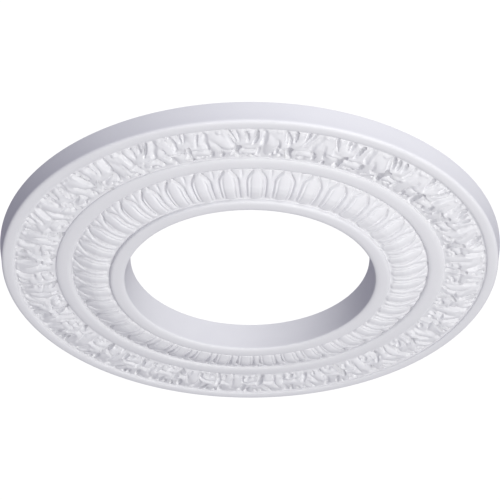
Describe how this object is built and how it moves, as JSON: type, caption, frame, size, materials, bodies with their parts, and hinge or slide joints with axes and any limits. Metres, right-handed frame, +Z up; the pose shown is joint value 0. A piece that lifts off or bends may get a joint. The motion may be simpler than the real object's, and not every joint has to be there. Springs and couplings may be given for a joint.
{
  "type": "ceiling rose",
  "caption": "Round moulded ceiling ring with a frieze of acanthus leaves, a band of eggs and tongues, plain rims and a wide open centre for a light fitting.",
  "frame": {"origin": "middle of the central hole in the plane of the flat back, which lies against the ceiling", "axes": "+Z up out of the flat back into the ceiling, the carved face looks down -Z, +X to the right and +Y away from the viewer of the picture"},
  "size_m": [0.53, 0.53, 0.03],
  "materials": {
    "primer": "factory-primed matt white on moulded polyurethane"
  },
  "bodies": {
    "root": {"ceiling_rose": "primer"}
  },
  "joints": []
}
